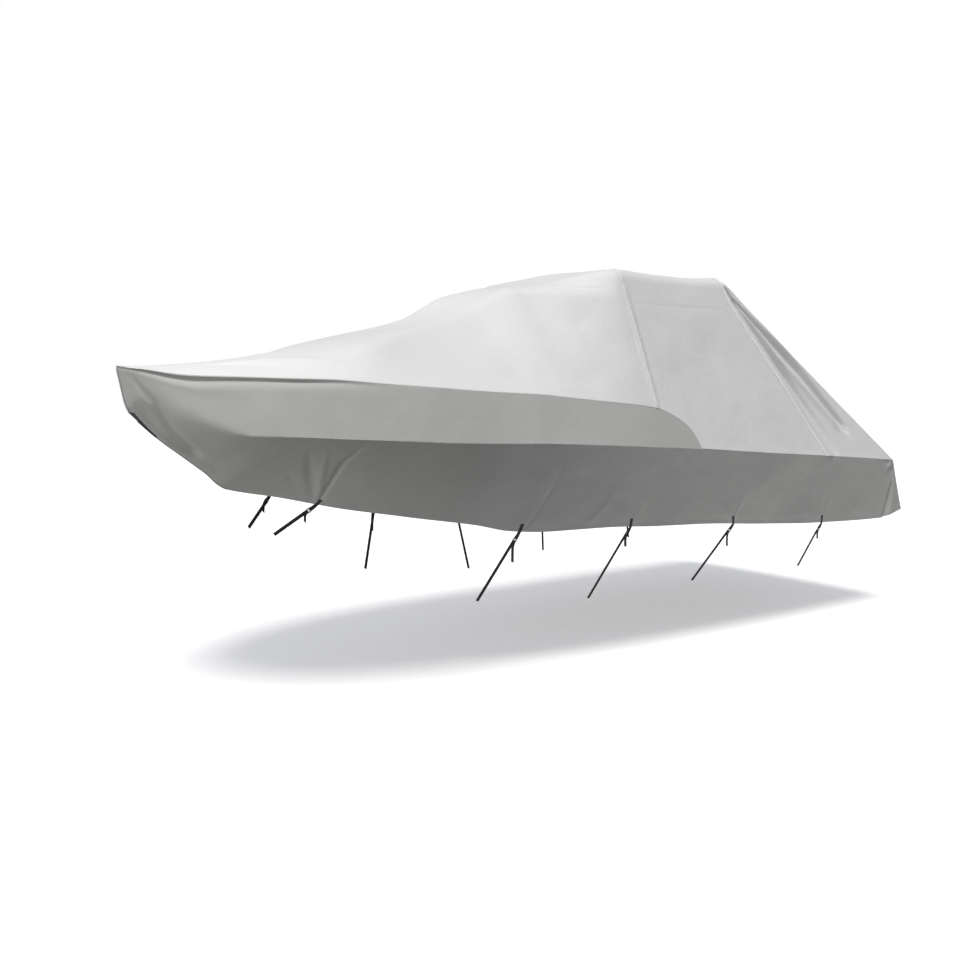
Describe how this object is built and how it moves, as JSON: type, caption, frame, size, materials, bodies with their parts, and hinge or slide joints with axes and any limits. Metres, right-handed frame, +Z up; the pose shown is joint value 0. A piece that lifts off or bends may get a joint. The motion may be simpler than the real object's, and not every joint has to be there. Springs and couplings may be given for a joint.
{
  "type": "boat cover",
  "caption": "Fitted cloth cover for a cabin boat with a tall frame: light top panels, dark skirt down the hull sides, welted seams, and hem straps with buckles.",
  "frame": {"origin": "on the centre line, just under the cloth of the middle top panel, where the tall frame holds the cover up", "axes": "+X aft along the boat, the bow at -X; +Z up; -Y is port and +Y starboard"},
  "size_m": [6.5971, 2.4056, 2.4411],
  "materials": {
    "light_cloth": "matte coated woven polyester, light grey",
    "dark_cloth": "matte coated woven polyester, dark warm grey",
    "webbing": "black woven webbing",
    "buckle_plastic": "matte black moulded plastic"
  },
  "bodies": {
    "root": {"top_front": "light_cloth", "top_middle": "light_cloth", "top_rear": "light_cloth", "side_port": "dark_cloth", "side_starboard": "dark_cloth", "transom": "dark_cloth", "welt_front": "light_cloth", "welt_rear": "light_cloth", "stem_binding": "dark_cloth", "tab_port_1": "webbing", "buckle_port_1": "buckle_plastic", "strap_port_1": "webbing", "tab_port_2": "webbing", "buckle_port_2": "buckle_plastic", "strap_port_2": "webbing", "tab_port_3": "webbing", "buckle_port_3": "buckle_plastic", "strap_port_3": "webbing", "tab_port_4": "webbing", "buckle_port_4": "buckle_plastic", "strap_port_4": "webbing", "tab_port_5": "webbing", "buckle_port_5": "buckle_plastic", "strap_port_5": "webbing", "tab_starboard_1": "webbing", "buckle_starboard_1": "buckle_plastic", "strap_starboard_1": "webbing", "tab_starboard_2": "webbing", "buckle_starboard_2": "buckle_plastic", "strap_starboard_2": "webbing", "tab_starboard_3": "webbing", "buckle_starboard_3": "buckle_plastic", "strap_starboard_3": "webbing", "tab_starboard_4": "webbing", "buckle_starboard_4": "buckle_plastic", "strap_starboard_4": "webbing", "tab_starboard_5": "webbing", "buckle_starboard_5": "buckle_plastic", "strap_starboard_5": "webbing"}
  },
  "joints": []
}
